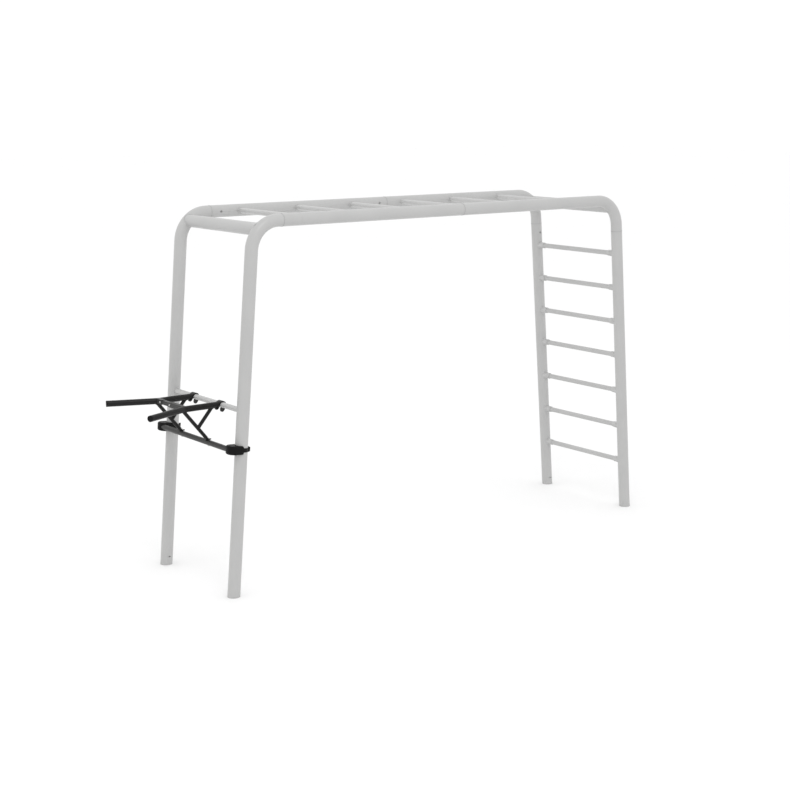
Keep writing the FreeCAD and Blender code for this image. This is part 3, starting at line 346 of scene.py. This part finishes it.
def hex_prism(target, across_flats, low, high, where, bore=0.0):
    """A hexagonal head or nut with both faces chamfered round."""
    chamfer_share, crown_share = 0.55, 0.985
    corner = hexagon(across_flats)
    flat = across_flats / 2
    chamfer = (corner - flat) * chamfer_share
    rings = []
    for height, cut_in in ((low, 1), (low + chamfer, 0), (high - chamfer, 0), (high, 1)):
        ring = []
        for i in range(ROUND):
            turn = math.tau * i / ROUND
            edge = flat / math.cos((turn % (math.pi / 3)) - math.pi / 6)
            radius = min(edge, flat * crown_share) if cut_in else edge
            ring.append(target.verts.new(where @ Vector((radius * math.cos(turn),
                                                         radius * math.sin(turn), height))))
        rings.append(ring)
    if bore:
        for height in (high, low):
            rings.append([target.verts.new(where @ Vector((
                bore * math.cos(math.tau * i / ROUND), bore * math.sin(math.tau * i / ROUND),
                height))) for i in range(ROUND)])
        rings.append(rings[0])
    for lower, upper in zip(rings, rings[1:]):
        for i in range(ROUND):
            after = (i + 1) % ROUND
            target.faces.new((lower[i], lower[after], upper[after], upper[i]))
    if not bore:
        target.faces.new(rings[0][::-1])
        target.faces.new(rings[-1])


def threaded(target, radius, low, high, where, pitch=0.00125):
    """A threaded shank end: crests and roots with a chamfered tip at its low end."""
    tip_share, root_share = 0.72, 0.88
    height = low + radius * (1 - tip_share)
    outline = [(radius * tip_share, low), (radius, height)]
    while height + pitch < high:
        outline += [(radius * root_share, height + pitch / 2), (radius, height + pitch)]
        height += pitch
    outline.append((radius, high))
    lathe(target, outline, where, sides=32)


def washer_ring(target, radius, low, high, where):
    """A plain washer with a broken upper edge."""
    broken = 0.0002
    lathe(target, [(radius, low), (radius, high - broken), (radius - broken, high)], where)


def bolt_set(name, node, axis, head, nut, across_flats, shank_r, washer_r):
    """Hex bolts with washers and nuts, one on each bolt and nut of the CAD node."""
    index = max(range(3), key=lambda i: abs(axis[i]))
    washer, bore_play = 0.0012, 0.0001
    target = bmesh.new()
    for low, high in islands(node):
        length = high[index] - low[index]
        where = aimed((low + high) / 2 + axis * length / 2, axis)
        hex_prism(target, across_flats, -head + washer, 0, where)
        washer_ring(target, washer_r, -head, -head + washer, where)
        threaded(target, shank_r, -length, -head, where)
        hex_prism(target, across_flats, -length, nut - length - washer, where,
                  bore=shank_r + bore_play)
        washer_ring(target, washer_r, nut - length - washer, nut - length, where)
    return make_piece(name, target, "zinc_steel", replaces=(node,))


def seam_screws():
    """Button-head screws on the inner side of each seam, on shaped washers."""
    head_r, socket_r, crown = 0.0068, 0.0024, 0.0042
    washer_lip, washer_low, washer_high = 0.0007, -0.0009, 0.0005
    shank_r, shank_length, seat_depth, socket_depth = 0.004, 0.0136, 0.0045, 0.002
    broken = 0.0002
    target = bmesh.new()
    for low, high in islands("joint_bolts"):
        inwards = 1 if low.y < 0 else -1
        face = high.y if inwards > 0 else low.y
        seat = Vector(((low.x + high.x) / 2, face - inwards * seat_depth,
                       (low.z + high.z) / 2))
        where = aimed(seat, Vector((0, inwards, 0)))
        dome = arc((0, -head_r * 0.75), head_r * 1.25, 37, 66, 6)
        lathe(target, [(head_r + washer_lip, washer_low), (head_r + washer_lip, washer_high),
                       (head_r, washer_high + 0.0001), *dome, (socket_r, crown - broken),
                       (socket_r, crown - broken - socket_depth)], where)
        lathe(target, [(shank_r, -shank_length), (shank_r, 0)], where)
    return make_piece("seam_screws", target, "dark_zinc", replaces=("joint_bolts",))


# ---------------------------------------------------------------- welds

def bead(target, points, outward, radius):
    """A weld bead along a closed curve, its back scalloped by the run of the torch."""
    ripple, ripple_share, flatness, sides = 5, 0.13, 0.8, 8

    def section(i):
        swell = radius * (1 + ripple_share * math.sin(math.tau * i / ripple))
        return [(swell * math.cos(t), swell * flatness * math.sin(t))
                for t in [math.tau * j / sides for j in range(sides)]]

    sweep(target, points, section, closed=True, ups=outward)


def on_round(base, direction, radius, reach_to, steps=120):
    """Points where a round member meets a surface; reach_to gives how far along it that is."""
    side = direction.orthogonal().normalized()
    other = direction.cross(side)
    points, outward = [], []
    for i in range(steps):
        turn = math.tau * i / steps
        spoke = side * math.cos(turn) + other * math.sin(turn)
        start = base + spoke * radius
        points.append(start + direction * reach_to(start, direction))
        outward.append(spoke)
    return points, outward


def reach_tube(axis_y, axis_z, tube_r):
    """How far along a line from a point the surface of a level tube along X lies."""
    def reach(start, direction):
        gap = Vector((start.y - axis_y, start.z - axis_z))
        way = Vector((direction.y, direction.z))
        a, b, c = way.dot(way), 2 * gap.dot(way), gap.dot(gap) - tube_r ** 2
        root = math.sqrt(max(b * b - 4 * a * c, 0.0))
        return (-b - root) / (2 * a)
    return reach


def crossbar_welds():
    """Beads round the crossbars' coped ends, on the bent tubes and rounded at their crests."""
    least_depth, proud, bead_r, steps = 0.008, 0.0008, 0.0028, 180
    target = bmesh.new()
    for end in ("left", "right"):
        low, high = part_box(f"{end}_crossbar")
        centre = (low + high) / 2
        sign = 1 if centre.x > 0 else -1
        half_turn = (math.pi / 2 - SPLAY) / 2
        bend = Vector((centre.x - sign * BEND_R * math.sin(half_turn), 0,
                       centre.z - BEND_R * math.cos(half_turn)))
        for side in (-1, 1):
            points, outward = [], []
            for i in range(steps):
                turn = math.tau * i / steps
                spoke = Vector((math.cos(turn), 0, math.sin(turn)))
                spot = centre + spoke * (TUBE_R + proud)
                off = math.hypot(spot.x - bend.x, spot.z - bend.z) - BEND_R
                depth = math.sqrt(max(TUBE_R ** 2 - off ** 2, least_depth ** 2))
                points.append(Vector((spot.x, side * (HALF_GAUGE - depth), spot.z)))
                outward.append(spoke)
            bead(target, points, outward, bead_r)
    return make_piece("crossbar_welds", target, "frame_paint")


def hook_face(height):
    """X of a hook's outer face, on the dip bars' side, at a height above the tumble bar's axis."""
    if height > HOOK_R * math.sin(HOOK_TURN):
        return TUMBLE_X - math.sqrt(HOOK_R ** 2 - height ** 2)
    return TUMBLE_X + (height * math.sin(HOOK_TURN) - HOOK_R) / math.cos(HOOK_TURN)


def attachment_welds():
    """Beads that join the struts and hooks to the dip bars."""
    proud, clear, sunk, bead_r, steps = 0.0004, 0.0006, 0.0003, 0.0019, 120
    target = bmesh.new()
    for side in (-1, 1):
        y = side * abs(ARM_Y)
        lift = Vector((0, y, 0))
        reach = reach_tube(y, ARM_Z, ARM_R + clear)
        for foot, top in (MAIN_STRUT, SHORT_STRUT):
            upwards = (top - foot).normalized()
            points, outward = on_round(foot + lift, upwards, STRUT_R + proud, reach)
            bead(target, points, outward, bead_r)
        ring, outward = [], []
        for i in range(steps):
            turn = math.tau * i / steps
            up = ARM_Z + (ARM_R + proud) * math.sin(turn)
            ring.append(Vector((hook_face(up - TUMBLE_Z) - sunk,
                                y + (ARM_R + proud) * math.cos(turn), up)))
            outward.append(Vector((0, math.cos(turn), math.sin(turn))))
        bead(target, ring, outward, bead_r)
    return make_piece("attachment_welds", target, "black_paint")


# ---------------------------------------------------------------- straps and buckles

def leg_frame(side):
    """Placement of the strapped leg's own axes at a saddle; side -1 mirrors it to the far leg."""
    origin = Vector((SADDLE_X, -HALF_GAUGE, SADDLE_Z))
    near = Matrix.Translation(origin) @ Matrix.Rotation(SPLAY, 4, "Y")
    return near if side > 0 else Matrix.Diagonal((1, -1, 1, 1)) @ near


def webbing_section(half_width, thickness):
    """A flat band's section: raised lengthwise ribs on both faces and rounded selvedges."""
    ribs, steps, relief_share, least_round = 9, 54, 0.07, 0.15
    face = []
    for i in range(steps + 1):
        across = -half_width + 2 * half_width * i / steps
        edge = max(0.0, abs(across) - (half_width - thickness / 2))
        round_off = math.sqrt(max(1 - (edge / (thickness / 2)) ** 2, 0.0))
        wave = math.cos(math.tau * ribs * (across / (2 * half_width)))
        relief = 1 - relief_share + relief_share * wave
        face.append((across, thickness / 2 * relief * max(round_off, least_round)))
    return face + [(across, -height) for across, height in reversed(face)]


def straps():
    """Webbing straps: from slot to slot round the back of each leg, with the free tail."""
    thickness, straight, bend, fold = 0.002, 8, 60, 8
    tail_r, tail_from, tail_sweep, tail_steps = STRAP_R + 0.0022, 26, 80, 40
    for side_name, side in SIDES:
        where = leg_frame(side)
        target = bmesh.new()
        path = [Vector((-SLOT_X + SLOT_X * i / straight, -STRAP_R, 0))
                for i in range(straight)]
        path += [Vector((STRAP_R * math.cos(t), STRAP_R * math.sin(t), 0))
                 for t in [math.radians(-90 + 180 * i / bend) for i in range(bend + 1)]]
        path += [Vector((-SLOT_X * i / straight, STRAP_R, 0)) for i in range(1, straight + 1)]
        ups = [Vector((max(p.x, 0), p.y, 0)).normalized() for p in path]
        sweep(target, path, webbing_section(STRAP_HALF, thickness), ups=ups)
        # the tail lies on the strap beyond the buckle and ends in a stitched fold
        tail_turns = [math.radians(tail_from + tail_sweep * i / tail_steps)
                      for i in range(tail_steps + 1)]
        tail = [Vector((tail_r * math.cos(t), tail_r * math.sin(t), 0)) for t in tail_turns]

        def tail_section(i):
            single, folded, narrower = 0.0019, 0.0034, 0.0003
            thick = single if i < len(tail) - fold else folded
            return webbing_section(STRAP_HALF - narrower, thick)

        sweep(target, tail, tail_section, ups=[p.normalized() for p in tail])
        bmesh.ops.transform(target, matrix=where, verts=target.verts)
        make_piece(f"webbing_{side_name}", target, "black_webbing",
                   replaces=(f"strap_{side_name}",))


def plate(target, outline, low, high, axis="X"):
    """A flat plate from an outline of (u, v) points, thick from low to high."""
    def spot(u, v, w):
        return Vector((w, u, v)) if axis == "X" else Vector((u, v, w))
    ends = [[target.verts.new(spot(u, v, w)) for u, v in outline] for w in (low, high)]
    count = len(outline)
    for i in range(count):
        k = (i + 1) % count
        target.faces.new((ends[0][i], ends[0][k], ends[1][k], ends[1][i]))
    target.faces.new(ends[0][::-1])
    target.faces.new(ends[1])


def rounded_rectangle(u1, v1, u2, v2, radius):
    corners = ((u2 - radius, v2 - radius, 0), (u1 + radius, v2 - radius, 90),
               (u1 + radius, v1 + radius, 180), (u2 - radius, v1 + radius, 270))
    return [point for u, v, start in corners for point in arc((u, v), radius, start, start + 90)]


def buckles():
    """Cam buckles: a pressed frame with two ears, a pin, and a lever with a toothed cam."""
    half_long, half_wide, sheet = 0.017, 0.0165, 0.002
    ear, ear_r = 0.0025, 0.006
    inside = half_wide - ear - 0.0005
    cam_r, tooth_r, teeth_count, lever_length, blade_from, blade_to = (
        0.004, 0.0036, 14, 0.027, 0.001, 0.004)
    grips, grip_gap = 5, 0.0025
    for side_name, side in SIDES:
        where = leg_frame(side)
        body = bmesh.new()
        plate(body, rounded_rectangle(-half_long, -half_wide, half_long, half_wide, 0.003),
              PLATE_X, PLATE_X + sheet)
        for low in (-half_wide, half_wide - ear):
            outline = ([(PLATE_X + sheet / 2, PIN_Y - ear_r)]
                       + arc((PIN_X, PIN_Y), ear_r, -90, 90, 12)
                       + [(PLATE_X + sheet / 2, PIN_Y + ear_r)])
            plate(body, outline, low, low + ear, axis="Z")
        bmesh.ops.transform(body, matrix=where, verts=body.verts)
        make_piece(f"cam_buckle_{side_name}", body, "black_paint", bevel=0.0004,
                   replaces=(f"buckle_frame_{side_name}",))

        lever = bmesh.new()
        teeth = [(PIN_X + r * math.cos(t), PIN_Y + r * math.sin(t)) for r, t in
                 [((cam_r if i % 2 else tooth_r), math.radians(90 + 180 * i / teeth_count))
                  for i in range(teeth_count + 1)]]
        tip_y = PIN_Y - lever_length
        outline = (teeth + [(PIN_X + blade_from, PIN_Y - tooth_r),
                            (PIN_X + blade_from, tip_y + cam_r)]
                   + [(PIN_X + 0.0016, tip_y), (PIN_X + 0.0036, tip_y)]
                   + [(PIN_X + blade_to, tip_y + cam_r), (PIN_X + blade_to, PIN_Y)]
                   + arc((PIN_X, PIN_Y), cam_r, 10, 80, 5))
        plate(lever, outline, -inside, inside, axis="Z")
        for i in range(grips):
            y = tip_y + 0.005 + grip_gap * i
            plate(lever, [(PIN_X + 0.0038, y), (PIN_X + 0.0045, y + 0.0004),
                          (PIN_X + 0.0045, y + 0.0009), (PIN_X + 0.0038, y + 0.0013)],
                  -inside * 0.75, inside * 0.75, axis="Z")
        bmesh.ops.transform(lever, matrix=where, verts=lever.verts)
        make_piece(f"cam_lever_{side_name}", lever, "black_paint", f"{side_name}_lever",
                   bevel=0.0003, replaces=(f"buckle_lever_{side_name}",))


# ---------------------------------------------------------------- stage

def build_stage():
    """A plain pale floor, an even white surround and one soft light overhead."""
    floor_mesh = bmesh.new()
    bmesh.ops.create_grid(floor_mesh, x_segments=1, y_segments=1, size=60)
    mesh = bpy.data.meshes.new("floor")
    floor_mesh.to_mesh(mesh)
    floor_mesh.free()
    floor = bpy.data.objects.new("floor", mesh)
    bpy.context.scene.collection.objects.link(floor)
    pale = Shader("floor_pale", Roughness=0.9, Specular_IOR_Level=0.1)
    pale.colour(pale.ramp(pale.noise(2.0), [(0.3, 0.925), (0.7, 0.935)]))
    mesh.materials.append(pale.material)

    world = bpy.data.worlds.new("surround")
    world.use_nodes = True
    background = world.node_tree.nodes["Background"]
    background.inputs["Color"].default_value = (1, 1, 1, 1)
    background.inputs["Strength"].default_value = 1.08
    bpy.context.scene.world = world

    lamp = bpy.data.lights.new("key", "AREA")
    lamp.shape, lamp.size, lamp.energy = "DISK", 2.4, 60.0
    key = bpy.data.objects.new("key", lamp)
    key.location = (-2.5, -3.5, 7.0)
    key.rotation_euler = (Vector((0, 0, 1)) - key.location).to_track_quat("-Z", "Y").to_euler()
    bpy.context.scene.collection.objects.link(key)
    bpy.context.scene.view_settings.view_transform = "Standard"


def build_camera():
    data = bpy.data.cameras.new("camera")
    data.lens, data.sensor_width = 68.47, 36.0
    data.clip_end = 200.0
    camera = bpy.data.objects.new("camera", data)
    camera.location = (-6.0429, -7.6638, 2.8893)
    camera.rotation_euler = (math.radians(90 - 11.26), 0, -math.radians(37.64))
    bpy.context.scene.collection.objects.link(camera)
    bpy.context.scene.camera = camera


finish_nodes()
seam_screws()
bolt_set("strut_hex_bolts", "strut_bolts", Vector((0, 0, 1)), head=0.0045, nut=0.006,
         across_flats=0.0128, shank_r=0.004, washer_r=0.0075)
bolt_set("tie_hex_bolts", "cross_tie_bolts", Vector((-1, 0, 0)), head=0.005, nut=0.005,
         across_flats=0.0105, shank_r=0.003, washer_r=0.0065)
crossbar_welds()
attachment_welds()
straps()
buckles()
build_stage()
build_camera()
